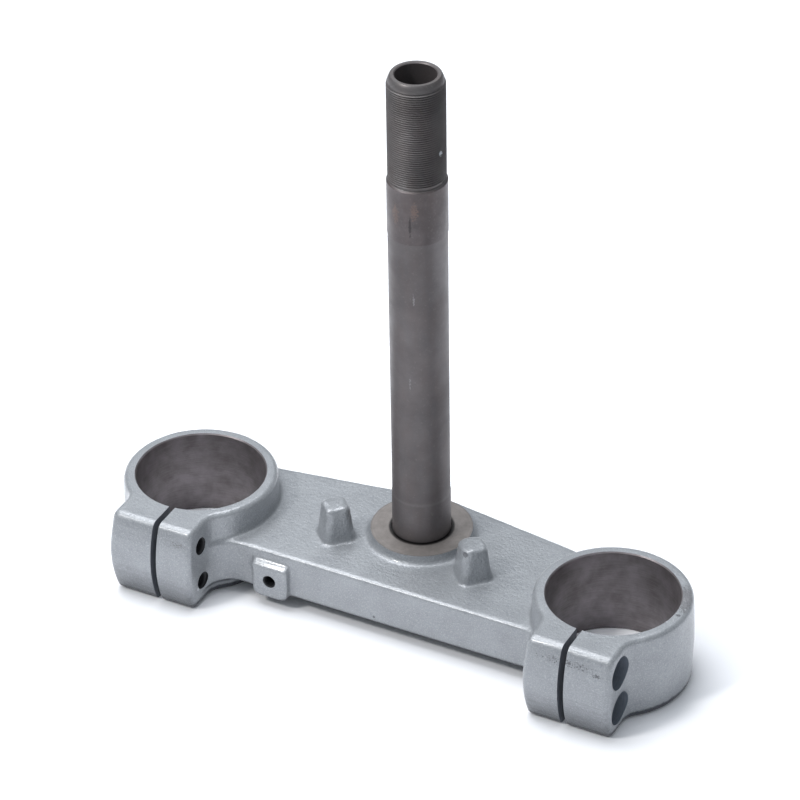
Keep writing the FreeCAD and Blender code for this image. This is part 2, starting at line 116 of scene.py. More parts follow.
# How it is roughened: waves of the walls, lumps of the stops and dents of the edges
WALL_FOOT = 2.0 * MM
WAVE = 0.07 * MM
WAVE_LENGTH = 9.0 * MM
STOP_FOOT = 0.35
LUMP = 0.55 * MM
LUMP_LENGTH = 4.0 * MM
DENT = 0.22 * MM
DENT_LENGTH = 1.7 * MM
SHARP_BEND = 0.04 * MM

# Stock left for the cuts, room round a plug, and how far a tool stands clear of the casting
STOCK = 1.2 * MM
SPARE = 0.05 * MM
CUT_FAR = 3.0 * MM

# Facets round each turned shape, the smallest step between points, and what stays smooth
BORE_FACETS = 160
HUB_FACETS = 128
STEM_FACETS = 128
PLUG_FACETS = 96
THREAD_FACETS = 64
SCREW_FACETS = 64
TAP_FACETS = 48
CAD_WELD = 0.001 * MM
TURNED_WELD = 0.00001 * MM
ON_WALL = 0.01 * MM
SMOOTH_CAST = math.radians(38)
SMOOTH_TURNED = math.radians(30)

ALONG_X = Matrix.Rotation(math.pi / 2, 4, "Y")
AGAINST_X = Matrix.Rotation(-math.pi / 2, 4, "Y")
AGAINST_Y = Matrix.Rotation(math.pi / 2, 4, "X")
SIDES = ((1, ALONG_X), (-1, AGAINST_X))


# Shapes

def new_piece(name, bm, *materials):
    """Makes an object of a bmesh, with its material slots."""
    mesh = bpy.data.meshes.new(name)
    bm.to_mesh(mesh)
    bm.free()
    for material in materials:
        mesh.materials.append(material)
    piece = bpy.data.objects.new(name, mesh)
    bpy.context.scene.collection.objects.link(piece)
    return piece


def take_in(bm, other):
    """Adds another bmesh's faces to this one."""
    mesh = bpy.data.meshes.new("part")
    other.to_mesh(mesh)
    other.free()
    bm.from_mesh(mesh)
    bpy.data.meshes.remove(mesh)


def turn_solid(bm, profile, place=(0, 0, 0), turn=Matrix(), steps=PLUG_FACETS, finish=0):
    """Adds a closed solid turned about a line; profile is (radius, height) pairs."""
    fresh = bmesh.new()
    verts = [fresh.verts.new((radius, 0, height)) for radius, height in profile]
    edges = [fresh.edges.new(pair) for pair in zip(verts, verts[1:])]
    bmesh.ops.spin(fresh, geom=verts + edges, cent=(0, 0, 0), axis=(0, 0, 1),
                   angle=2 * math.pi, steps=steps, use_merge=True)
    bmesh.ops.remove_doubles(fresh, verts=fresh.verts, dist=TURNED_WELD)
    fresh.transform(Matrix.Translation(place) @ turn)
    bmesh.ops.recalc_face_normals(fresh, faces=fresh.faces)
    for face in fresh.faces:
        face.material_index = finish
    take_in(bm, fresh)


def disc(radius, low, high):
    """The profile of a plain round plug."""
    return [(0, low), (radius, low), (radius, high), (0, high)]


def applied(piece, kind, **settings):
    """Runs one modifier on a piece and keeps its result."""
    modifier = piece.modifiers.new(kind, kind)
    for key, value in settings.items():
        setattr(modifier, key, value)
    graph = bpy.context.evaluated_depsgraph_get()
    before = piece.data
    after = bpy.data.meshes.new_from_object(piece.evaluated_get(graph))
    piece.modifiers.clear()
    piece.data = after
    bpy.data.meshes.remove(before)
    return piece


def read(items, field, width, kind=np.float64):
    """A mesh's field as rows of an array."""
    values = np.empty(len(items) * width, dtype=kind)
    items.foreach_get(field, values)
    return values.reshape(-1, width)


# Yoke

def slot_filling(bm, side):
    """What the saw takes out of a clamp: the slot's inner wall, as thick as the slot."""
    wall_x = side * (fork.x - SLOT_SHIFT - SLOT_WIDTH / 2)
    wall = [face for face in bm.faces
            if all(abs(vert.co.x - wall_x) < ON_WALL for vert in face.verts)]
    filling = bmesh.new()
    corners = {}
    for face in wall:
        for vert in face.verts:
            if vert not in corners:
                corners[vert] = filling.verts.new(vert.co)
        filling.faces.new([corners[vert] for vert in face.verts])
    made = bmesh.ops.extrude_face_region(filling, geom=filling.faces[:], use_keep_orig=True)
    moved = [item for item in made["geom"] if isinstance(item, bmesh.types.BMVert)]
    bmesh.ops.translate(filling, verts=moved, vec=(side * SLOT_WIDTH, 0, 0))
    bmesh.ops.recalc_face_normals(filling, faces=filling.faces)
    return filling


def pinch_places():
    """The middle of each pinch screw's ear, with the way its head faces."""
    return [((side * fork.x, pinch.y, pinch.z + rise), across)
            for side, across in SIDES for rise in (pinch_rise, -pinch_rise)]


def casting_blank():
    """The yoke as it leaves the mould: its solid with every machined opening filled."""
    bm = bmesh.new()
    bm.from_mesh(frame["nodes"]["yoke"].data)
    bmesh.ops.remove_doubles(bm, verts=bm.verts, dist=CAD_WELD)
    for filling in [slot_filling(bm, side) for side, across in SIDES]:
        take_in(bm, filling)
    mouth = fork_radius + BORE_CHAMFER + SPARE
    for side, across in SIDES:
        turn_solid(bm, disc(mouth, -half_clamp, half_clamp), (side * fork.x, fork.y, fork.z))
    head_seat = EAR_HALF - HEAD_DEPTH
    for place, across in pinch_places():
        head = disc(HEAD_RADIUS + SPARE, head_seat - SPARE, EAR_HALF - STEP)
        shank = disc(SHANK_RADIUS + SPARE, STEP - EAR_HALF, head_seat)
        turn_solid(bm, head, place, across)
        turn_solid(bm, shank, place, across)
    turn_solid(bm, disc(root_radius + HUB_CHAMFER + SPARE, hub_foot, 0))
    turn_solid(bm, disc(HUB_FACE, ROOT_TOP, STOCK))
    turn_solid(bm, disc(PAD_MOUTH + SPARE, -PAD_DRILL - STOCK, 0),
               (pad_hole.x, PAD_FACE, pad_hole.z), AGAINST_Y)
    return applied(new_piece("cast_yoke", bm), "REMESH", mode="VOXEL", voxel_size=VOXEL)


def relax(places, ends, steps, outward=None):
    """Draws each point halfway to the middle of its neighbours; with normals, only outwards."""
    count = np.bincount(ends.ravel(), minlength=len(places))[:, None]
    first, second = ends.T
    for _ in range(steps):
        total = np.stack([
            np.bincount(first, places[second, axis], len(places))
            + np.bincount(second, places[first, axis], len(places)) for axis in range(3)
        ], axis=1)
        move = (total / count - places) / 2
        if outward is not None:
            move = outward * np.maximum((move * outward).sum(axis=1), 0)[:, None]
        places = places + move
    return places


def soften(blank):
    """Fills the casting's inner corners and rounds its edges."""
    mesh = blank.data
    places = read(mesh.vertices, "co", 3)
    normals = read(mesh.vertices, "normal", 3)
    ends = read(mesh.edges, "vertices", 2, np.int32)
    places = relax(places, ends, FILL_STEPS, normals)
    places = relax(places, ends, ROUND_STEPS)
    mesh.vertices.foreach_set("co", places.ravel())
    mesh.update()
    return applied(blank, "DECIMATE", ratio=KEPT_FACES)


def swell(places, length):
    """Smooth noise at each place, from -1 to 1."""
    return np.array([noise.noise(Vector(place) / length) for place in places])


def roughcast(casting):
    """Waves the cast walls above the floor, lumps the stops' tops and dents the round edges."""
    mesh = casting.data
    places = read(mesh.vertices, "co", 3)
    normals = read(mesh.vertices, "normal", 3)
    ends = read(mesh.edges, "vertices", 2, np.int32)
    above = np.clip((places[:, 2] - floor_z) / WALL_FOOT, 0, 1)
    up_stop = (places[:, 2] - BRIDGE_TOP) / (stop_top - BRIDGE_TOP)
    between = np.abs(places[:, 0]) < fork.x / 2
    on_stop = np.clip(up_stop - STOP_FOOT, 0, 1 - STOP_FOOT) * between
    bend = ((places - relax(places, ends, 1)) * normals).sum(axis=1)
    on_edge = np.clip(bend / SHARP_BEND, 0, 1)
    waves = WAVE * swell(places, WAVE_LENGTH)
    dents = DENT * swell(places, DENT_LENGTH) * on_edge
    lumps = LUMP * swell(places, LUMP_LENGTH) * on_stop
    rise = (waves + dents) * above + lumps
    mesh.vertices.foreach_set("co", (places + normals * rise[:, None]).ravel())
    mesh.update()
    return casting


# Material slots that the cuts leave; slot 0 is the paint
BORED, FACED, DRILLED, TAPPED, SAWN = range(1, 6)


def fork_bars(bm):
    """Boring bars of the two clamps, which break the bores' edges."""
    flare = BORE_CHAMFER + CUT_FAR
    straight = half_clamp - BORE_CHAMFER
    bar = [
        (0, -half_clamp - CUT_FAR),
        (fork_radius + flare, -half_clamp - CUT_FAR),
        (fork_radius, -straight),
        (fork_radius, straight),
        (fork_radius + flare, half_clamp + CUT_FAR),
        (0, half_clamp + CUT_FAR),
    ]
    for side, across in SIDES:
        turn_solid(bm, bar, (side * fork.x, fork.y, fork.z), steps=BORE_FACETS, finish=BORED)


def hub_bar(bm):
    """Boring bar of the hub, which breaks the edge of its foot."""
    turn_solid(bm, [
        (0, hub_foot - CUT_FAR),
        (root_radius + HUB_CHAMFER + CUT_FAR, hub_foot - CUT_FAR),
        (root_radius, hub_foot + HUB_CHAMFER),
        (root_radius, STOCK),
        (0, STOCK),
    ], steps=HUB_FACETS, finish=BORED)


def facing_tool(bm):
    """Takes the hub down to its bearing face."""
    turn_solid(bm, disc(HUB_FACE + CUT_FAR, 0, CUT_FAR), steps=HUB_FACETS, finish=FACED)


def saw(bm):
    """Slits both ears, from in front of them into the bores."""
    reach = EAR_REACH + CUT_FAR
    blades = bmesh.new()
    for side, across in SIDES:
        middle = Vector((side * (fork.x - SLOT_SHIFT), fork.y - reach / 2, fork.z))
        size = Matrix.Diagonal((SLOT_WIDTH, reach, 2 * half_clamp + CUT_FAR, 1))
        bmesh.ops.create_cube(blades, size=1, matrix=Matrix.Translation(middle) @ size)
    for face in blades.faces:
        face.material_index = SAWN
    take_in(bm, blades)


def pad_drill(bm):
    """The pad's blind hole, with its broken edge and the drill's point."""
    turn_solid(bm, [
        (0, -PAD_DRILL - pad_tap * DRILL_POINT),
        (pad_tap, -PAD_DRILL),
        (pad_tap, pad_tap - PAD_MOUTH),
        (PAD_MOUTH, 0),
        (PAD_MOUTH, CUT_FAR),
        (0, CUT_FAR),
    ], (pad_hole.x, PAD_FACE, pad_hole.z), AGAINST_Y, steps=TAP_FACETS, finish=TAPPED)


def screw_drills(bm):
    """Counterbores and clearance holes, from the outer side to the slot."""
    drill = [
        (0, -SLOT_SHIFT),
        (SHANK_RADIUS, -SLOT_SHIFT),
        (SHANK_RADIUS, EAR_HALF - HEAD_DEPTH),
        (HEAD_RADIUS, EAR_HALF - HEAD_DEPTH),
        (HEAD_RADIUS, EAR_HALF + CUT_FAR),
        (0, EAR_HALF + CUT_FAR),
    ]
    for place, across in pinch_places():
        turn_solid(bm, drill, place, across, steps=SCREW_FACETS, finish=DRILLED)


def screw_taps(bm):
    """Tapped holes, from their mouths on the inner side to the slot."""
    tap = [
        (0, -EAR_HALF - CUT_FAR),
        (MOUTH_RADIUS, -EAR_HALF - CUT_FAR),
        (MOUTH_RADIUS, -EAR_HALF + MOUTH_DEPTH),
        (pinch_tap, -EAR_HALF + MOUTH_DEPTH + MOUTH_RADIUS - pinch_tap),
        (pinch_tap, -SLOT_SHIFT),
        (0, -SLOT_SHIFT),
    ]
    for place, across in pinch_places():
        turn_solid(bm, tap, place, across, steps=TAP_FACETS, finish=TAPPED)


def machined(casting, materials):
    """Takes the bores, slots and holes out of the casting; each cut keeps its own finish.

    Cuts of one setting don't meet each other.
    """
    for material in materials:
        casting.data.materials.append(material)
    settings = (
        (fork_bars, facing_tool, pad_drill),
        (hub_bar, saw),
        (screw_drills,),
        (screw_taps,),
    )
    for cuts in settings:
        bm = bmesh.new()
        for cut in cuts:
            cut(bm)
        tool = new_piece("tool", bm, *materials)
        applied(casting, "BOOLEAN", operation="DIFFERENCE", solver="MANIFOLD", object=tool)
        bpy.data.objects.remove(tool)
    return casting


def yoke(materials):
    """The painted casting with its machined places, in place of the CAD node."""
    casting = machined(roughcast(soften(casting_blank())), materials)
    casting.name = "painted_yoke"
    casting.data.shade_smooth()
    casting.data.set_sharp_from_angle(angle=SMOOTH_CAST)
    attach(casting, "root")
    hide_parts("yoke")
    return casting


# Steering stem; slot 0 of its materials is the tube

SEAT, THREAD = 1, 2


def thread_end():
    """Height at which the lead-in cone is down to the thread's root."""
    return stem_high.z - LEAD_IN + LEAD_IN * THREAD_DEPTH / LEAD_IN_DEPTH


def stem_profile():
    """The stem's wall as (radius, height) pairs, from its foot round to its bore."""
    core = thread_radius - THREAD_DEPTH
    top = stem_high.z
    return [
        (stem_bore_radius, hub_foot),
        (root_radius - STEP, hub_foot),
        (root_radius, hub_foot + STEP),
        (root_radius, ROOT_TOP),
        (seat_radius, ROOT_TOP),
        (seat_radius, LOWER_SEAT_TOP),
        (TUBE_RADIUS, LOWER_SEAT_TOP + STEP),
        (TUBE_RADIUS, UPPER_SEAT[0]),
        (seat_radius, UPPER_SEAT[0] + STEP),
        (seat_radius, UPPER_SEAT[1] - STEP),
        (thread_radius, UPPER_SEAT[1]),
        (core, UPPER_SEAT[1] + STEP),
        (core, thread_end()),
        (thread_radius - LEAD_IN_DEPTH, top - STEP),
        (thread_radius - LEAD_IN_DEPTH - STEP, top),
        (stem_bore_radius + STEP, top),
        (stem_bore_radius, top - STEP),
    ]


def add_thread(bm, steps=THREAD_FACETS):
    """One ridge that climbs a pitch each turn, sunk at its start and cut by the lead-in cone."""
    core = thread_radius - THREAD_DEPTH
    low = UPPER_SEAT[1] + STEP
    turns = int((thread_end() - low) / THREAD_PITCH) - 1
    half = THREAD_PITCH / 2
    crest = THREAD_PITCH / 16
    ridge = bmesh.new()
    verts = [ridge.verts.new(corner) for corner in (
        (core - STEP, 0, low),
        (core, 0, low),
        (thread_radius, 0, low + half - crest),
        (thread_radius, 0, low + half + crest),
        (core, 0, low + 2 * half),
        (core - STEP, 0, low + 2 * half),
    )]
    face = ridge.faces.new(verts)
    bmesh.ops.spin(ridge, geom=[face], cent=(0, 0, 0), axis=(0, 0, 1),
                   dvec=(0, 0, THREAD_PITCH / steps), angle=2 * math.pi * turns,
                   steps=steps * turns, use_merge=False)
    cone_foot = stem_high.z - LEAD_IN
    for vert in ridge.verts:
        sunk = min(1.0, max(0.0, (vert.co.z - low) / THREAD_PITCH))
        cone = thread_radius - LEAD_IN_DEPTH * (vert.co.z - cone_foot) / LEAD_IN
        limit = min(core + THREAD_DEPTH * sunk, cone - SPARE)
        radius = math.hypot(vert.co.x, vert.co.y)
        if radius > limit:
            vert.co.xy *= limit / radius
    bmesh.ops.recalc_face_normals(ridge, faces=ridge.faces)
    take_in(bm, ridge)


def steering_stem(tube, seat, thread):
    """The turned and threaded stem, in place of the CAD node."""
    bm = bmesh.new()
    profile = stem_profile()
    turn_solid(bm, profile + profile[:1], steps=STEM_FACETS)
    add_thread(bm)
    for face in bm.faces:
        middle = face.calc_center_median()
        outer = middle.xy.length > stem_bore_radius + STEP
        if outer and UPPER_SEAT[0] < middle.z < UPPER_SEAT[1]:
            face.material_index = SEAT
        elif outer and middle.z > UPPER_SEAT[1]:
            face.material_index = THREAD
    stem = new_piece("turned_stem", bm, tube, seat, thread)
    stem.data.shade_smooth()
    stem.data.set_sharp_from_angle(angle=SMOOTH_TURNED)
    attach(stem, "root")
    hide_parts("steering_stem")
    return stem


# Shader trees

def srgb(red, green, blue):
    """A colour as it is seen, 0 to 255, for a shader's linear socket."""
    def linear(part):
        part /= 255
        return part / 12.92 if part <= 0.04045 else ((part + 0.055) / 1.055) ** 2.4
    return (linear(red), linear(green), linear(blue), 1.0)


def add(tree, kind, sockets=None, **settings):
    """A node of a tree; a socket is given a constant or another node's output."""
    node = tree.nodes.new(kind)
    for key, value in settings.items():
        setattr(node, key, value)
    for key, value in (sockets or {}).items():
        if isinstance(value, bpy.types.NodeSocket):
            tree.links.new(value, node.inputs[key])
        else:
            node.inputs[key].default_value = value
    return node


def calc(tree, operation, first, second=0.0):
    """One sum of two values."""
    return add(tree, "ShaderNodeMath", {0: first, 1: second}, operation=operation).outputs[0]


def mixed(tree, share, under, over):
    """Over laid on under by share."""
    node = add(tree, "ShaderNodeMix", {0: share, 6: under, 7: over}, data_type="RGBA")
    return node.outputs[2]


def fade(tree, value, low, high, start=0.0, end=1.0):
    """Runs from start to end while value runs from low to high, and stays there."""
    sockets = {"Value": value, "From Min": low, "From Max": high, "To Min": start, "To Max": end}
    return add(tree, "ShaderNodeMapRange", sockets).outputs[0]


def grain(tree, place, size, detail=3.0, roughness=0.5):
    """Noise from 0 to 1 whose patches are about as wide as size."""
    scale = calc(tree, "DIVIDE", 1.0, size) if isinstance(size, bpy.types.NodeSocket) else 1 / size
    sockets = {"Vector": place, "Scale": scale, "Detail": detail, "Roughness": roughness}
    return add(tree, "ShaderNodeTexNoise", sockets).outputs["Fac"]


def stretched(tree, place, scale):
    """Place scaled on each axis; a small scale draws a pattern out along it."""
    return add(tree, "ShaderNodeMapping", {"Vector": place, "Scale": scale}).outputs[0]


def new_effect(name, inputs, output):
    """A shared shader group with one output, given as its tree, inputs and output node."""
    group = bpy.data.node_groups.new(name, "ShaderNodeTree")
    for socket, kind in inputs.items():
        group.interface.new_socket(socket, in_out="INPUT", socket_type=kind)
    group.interface.new_socket(output, in_out="OUTPUT", socket_type="NodeSocketFloat")
    return group, group.nodes.new("NodeGroupInput").outputs, group.nodes.new("NodeGroupOutput")


def turning_marks():
    """Fine lines round the steering axis or a bore, each about as wide as Width."""
    inputs = {"Place": "NodeSocketVector", "Width": "NodeSocketFloat"}
    group, given, result = new_effect("turning_marks", inputs, "Marks")
    flat = stretched(group, given["Place"], (0.03, 0.03, 1))
    group.links.new(grain(group, flat, given["Width"], 3), result.inputs[0])
    return group


def bloom():
    """Soft blotches of handling and oxide, each about as wide as Width."""
    inputs = {"Place": "NodeSocketVector", "Width": "NodeSocketFloat"}
    group, given, result = new_effect("bloom", inputs, "Mask")
    cloud = grain(group, given["Place"], given["Width"], 5, 0.6)
    group.links.new(fade(group, cloud, 0.35, 0.65), result.inputs[0])
    return group


SPECK = 0.7 * MM


def worn_spot():
    """Specks that gather about Middle as far as Reach, turned by Turn; Dense closes them up."""
    inputs = {"Place": "NodeSocketVector", "Middle": "NodeSocketVector",
              "Reach": "NodeSocketVector", "Turn": "NodeSocketVector", "Dense": "NodeSocketFloat"}
    group, given, result = new_effect("worn_spot", inputs, "Mask")
    inside = add(group, "ShaderNodeMapping", {
        "Vector": given["Place"], "Location": given["Middle"],
        "Rotation": given["Turn"], "Scale": given["Reach"]}, vector_type="TEXTURE").outputs[0]
    far = add(group, "ShaderNodeVectorMath", {0: inside}, operation="LENGTH").outputs["Value"]
    near = fade(group, far, 1.0, 0.3)
    specks = grain(group, given["Place"], SPECK, 3, 0.6)
    filled = calc(group, "ADD", specks, calc(group, "MULTIPLY", near, given["Dense"]))
    group.links.new(fade(group, filled, 0.8, 0.9), result.inputs[0])
    return group


TURNING_MARKS = turning_marks()
BLOOM = bloom()
WORN_SPOT = worn_spot()


def effect(tree, group, place, **sockets):
    """Places a shared effect in a material and gives its output."""
    node = tree.nodes.new("ShaderNodeGroup")
    node.node_tree = group
    tree.links.new(place, node.inputs["Place"])
    for key, value in sockets.items():
        node.inputs[key].default_value = value
    return node.outputs[0]


def new_material(name, metallic):
    """A material with its tree, shader and Object coordinates."""
    material = bpy.data.materials.new(name)
    material.use_nodes = True
    tree = material.node_tree
    tree.nodes.clear()
    shader = add(tree, "ShaderNodeBsdfPrincipled", {"Metallic": metallic})
    output = add(tree, "ShaderNodeOutputMaterial")
    tree.links.new(shader.outputs[0], output.inputs[0])
    place = add(tree, "ShaderNodeTexCoord").outputs["Object"]
    return material, tree, shader, place


def feed(tree, shader, colour, roughness, height, depth):
    """Wires a material's masks into its shader; height is in shares of depth."""
    tree.links.new(colour, shader.inputs["Base Color"])
    tree.links.new(roughness, shader.inputs["Roughness"])
    bump = add(tree, "ShaderNodeBump", {"Height": height, "Distance": depth})
    tree.links.new(bump.outputs[0], shader.inputs["Normal"])


# Finishes; each tint is given as the eye sees it

PAINT_DEEP = srgb(139, 142, 146)
PAINT_PALE = srgb(149, 152, 156)
PAINT_FLAKE = srgb(190, 194, 199)
PAINT_PIT = srgb(118, 123, 130)
# Painted shade: near-black laid on the paint along its foot and on its downward faces
PAINTED_SHADE = srgb(44, 47, 54)
# Painted shade: near-black for the shade of the gap round the stem, on the hub's face and on the
# stem near it
GAP_SHADE = srgb(24, 22, 22)
CHIP = srgb(78, 79, 84)
STAIN = srgb(122, 121, 124)
BARE = srgb(214, 217, 222)
RUST = srgb(106, 90, 84)
SCRATCH = srgb(130, 127, 129)
SOOT = srgb(52, 48, 49)

# Painted contact shade fades out between these heights above the floor
PAINTED_SHADE_TOP = 4.7 * MM
PAINTED_SHADE_FULL = 3.6 * MM

# How strongly a worn place covers the finish under it
WEAR_SHARE = 0.8

# Worn places: middle and reach in mm, turn about the upright in degrees, density and colour
PAINT_WEAR = {
    "specks under the right ear's top edge": ((97.5, -62.8, 3.8), (27, 3, 3.4), 0, 0.41, CHIP),
    "pits beside the right counterbore": ((110.5, -62.8, 1.4), (4.5, 3, 1.6), 0, 0.4, CHIP),
    "specks beside the left ear's corner": ((-84, -62.8, 3.6), (9, 3, 4), 0, 0.4, STAIN),
    "nick in the right ring's rim": ((127.6, -19.6, 8.6), (1.6, 1.2, 1.6), 0, 0.6, CHIP),
    "chip at the top of the right stop": ((32.0, -23.2, 10.4), (2.4, 2.8, 2.0), 0, 0.55, CHIP),
    "notch at the lower tapped hole": ((-77.6, -56.6, -21.4), (1.6, 1.5, 1.5), 0, 0.8, BARE),
    "speck on the front wall": ((-2.2, -40.3, -21.8), (1.0, 1.4, 1.0), 0, 0.6, CHIP),
    "rub round the far side of the right ring": ((126.0, -8.0, 9.0), (6, 17, 2), 20, 0.42, STAIN),
    "cracks down the left ear's outer side": ((-117.4, -60.5, -14.0), (2, 5, 11), 0, 0.4, CHIP),
}
TUBE_WEAR = {
    "upper scratch": ((3.8, -11.7, 121.7), (0.8, 2, 5.5), 0, 0.42, SCRATCH),
    "middle scratch": ((1.8, -12.2, 80.8), (0.7, 2, 6.5), 0, 0.42, SCRATCH),
}
SEAT_WEAR = {
    "dark mark": ((2.8, -12.4, 157.0), (0.9, 2, 7), 0, 0.6, SOOT),
    "left rust": ((-4.0, -11.8, 161.0), (3.5, 3, 9), 0, 0.42, RUST),
    "right rust": ((4.6, -11.6, 164.0), (3, 3, 8), 0, 0.42, RUST),
}
THREAD_WEAR = {
    "bruised turn": ((11.8, -1.9, 187.9), (1.2, 1.6, 1.8), 0, 0.7, BARE),
}


def spotted(tree, place, colour, wear):
    """Lays worn places on a colour; gives the colour and where it's worn."""
    worn = 0.0
    for middle, reach, turn, dense, tint in wear.values():
        spot = effect(tree, WORN_SPOT, place, Middle=Vector(middle) * MM, Reach=Vector(reach) * MM,
                      Turn=(0, 0, math.radians(turn)), Dense=dense)
        colour = mixed(tree, calc(tree, "MULTIPLY", spot, WEAR_SHARE), colour, tint)
        worn = calc(tree, "MAXIMUM", spot, worn)
    return colour, worn


def cast_paint():
    """Silver grey paint over a cast skin, chipped here and there, with painted shade along its
    foot and on its downward faces.
    """
    material, tree, shader, place = new_material("cast_paint", 0.36)
    shader.inputs["Coat Weight"].default_value = 0.5
    shader.inputs["Coat Roughness"].default_value = 0.14
    height_z = add(tree, "ShaderNodeSeparateXYZ", {0: place}).outputs[2]
    tone = effect(tree, BLOOM, place, Width=14 * MM)
    skin = grain(tree, place, 1.5 * MM, 3, 0.6)
    flake = grain(tree, place, 0.6 * MM, 2, 0.7)
    colour = mixed(tree, tone, PAINT_DEEP, PAINT_PALE)
    colour = mixed(tree, fade(tree, flake, 0.5, 0.75, 0, 0.5), colour, PAINT_FLAKE)
    colour = mixed(tree, fade(tree, skin, 0.42, 0.25, 0, 0.5), colour, PAINT_PIT)
    # Painted shade: the paint is darkened near the floor, with a ragged top edge, and on faces
    # that look down
    ragged = calc(tree, "ADD", height_z, calc(tree, "MULTIPLY", skin, 1.5 * MM))
    contact_shade = fade(tree, ragged, floor_z + PAINTED_SHADE_TOP, floor_z + PAINTED_SHADE_FULL, 0, 0.95)
    facing = add(tree, "ShaderNodeNewGeometry").outputs["Normal"]
    upward = add(tree, "ShaderNodeSeparateXYZ", {0: facing}).outputs[2]
    underside_shade = fade(tree, upward, -0.05, -0.45, 0, 0.9)
    colour = mixed(tree, calc(tree, "MAXIMUM", contact_shade, underside_shade), colour, PAINTED_SHADE)
    colour, worn = spotted(tree, place, colour, PAINT_WEAR)
    roughness = fade(tree, flake, 0.3, 0.7, 0.46, 0.32)
    height = calc(tree, "ADD", calc(tree, "MULTIPLY", skin, 0.8),
                  calc(tree, "MULTIPLY", flake, 0.25))
    height = calc(tree, "SUBTRACT", height, calc(tree, "MULTIPLY", worn, 0.5))
    feed(tree, shader, colour, roughness, height, 0.38 * MM)
    return material


def bored_metal():
    """Bare casting, bored: fine marks round the bore under a brown-grey bloom."""
    material, tree, shader, place = new_material("bored_metal", 0.55)
    marks = effect(tree, TURNING_MARKS, place, Width=0.25 * MM)
    cloud = effect(tree, BLOOM, place, Width=9 * MM)
    colour = mixed(tree, cloud, srgb(102, 96, 97), srgb(126, 120, 123))
    colour = mixed(tree, fade(tree, marks, 0.4, 0.7, 0, 0.2), colour, srgb(160, 156, 158))
    feed(tree, shader, colour, fade(tree, cloud, 0, 1, 0.46, 0.36), marks, 0.015 * MM)
    return material


def faced_metal():
    """The hub's bearing face: turned rings, a warm bloom and painted shade of the gap round the
    stem.
    """
    material, tree, shader, place = new_material("faced_metal", 0.5)
    radius = add(tree, "ShaderNodeVectorMath", {0: stretched(tree, place, (1, 1, 0))},
                 operation="LENGTH").outputs["Value"]
    ring = add(tree, "ShaderNodeCombineXYZ", {0: radius}).outputs[0]
    rings = grain(tree, ring, 0.3 * MM, 2)
    cloud = effect(tree, BLOOM, place, Width=6 * MM)
    colour = mixed(tree, cloud, srgb(116, 111, 108), srgb(136, 130, 127))
    colour = mixed(tree, fade(tree, rings, 0.4, 0.7, 0, 0.25), colour, srgb(156, 152, 148))
    rim = fade(tree, radius, HUB_FACE - 0.8 * MM, HUB_FACE + 0.4 * MM, 0, 0.6)
    colour = mixed(tree, rim, colour, srgb(84, 82, 84))
    # Painted shade: a near-black ring on the face next to the stem, for the gap's shade
    gap = fade(tree, radius, root_radius + 1.3 * MM, root_radius + 0.5 * MM, 0, 0.95)
    colour = mixed(tree, gap, colour, GAP_SHADE)
    feed(tree, shader, colour, fade(tree, cloud, 0, 1, 0.55, 0.42), rings, 0.03 * MM)
    return material


def drilled_metal():
    """Counterbores and clearance holes, dull and dark blue grey."""
    material, tree, shader, place = new_material("drilled_metal", 0.4)
    marks = grain(tree, stretched(tree, place, (1, 0.05, 0.05)), 0.3 * MM, 2)
    colour = mixed(tree, marks, srgb(104, 111, 122), srgb(134, 141, 151))
    feed(tree, shader, colour, fade(tree, marks, 0.3, 0.7, 0.6, 0.45), marks, 0.05 * MM)
    return material


def tapped_metal():
    """Threaded holes, painted near-black for the shade deep inside them, with their turns as
    lines.
    """
    material, tree, shader, place = new_material("tapped_metal", 0.2)
    turns = grain(tree, stretched(tree, place, (1, 0.1, 0.1)), 0.6 * MM, 1)
    # Painted shade: the hole walls are near-black for the shade inside the holes
    colour = mixed(tree, turns, srgb(20, 20, 22), srgb(44, 45, 49))
    feed(tree, shader, colour, fade(tree, turns, 0.3, 0.7, 0.7, 0.55), turns, 0.2 * MM)
    return material


def sawn_metal():
    """The slots' walls, grey and dull, with the saw's marks."""
    material, tree, shader, place = new_material("sawn_metal", 0.3)
    marks = grain(tree, stretched(tree, place, (1, 1, 0.05)), 0.4 * MM, 2)
    colour = mixed(tree, marks, srgb(92, 96, 104), srgb(120, 124, 132))
    feed(tree, shader, colour, fade(tree, marks, 0.3, 0.7, 0.65, 0.5), marks, 0.05 * MM)
    return material


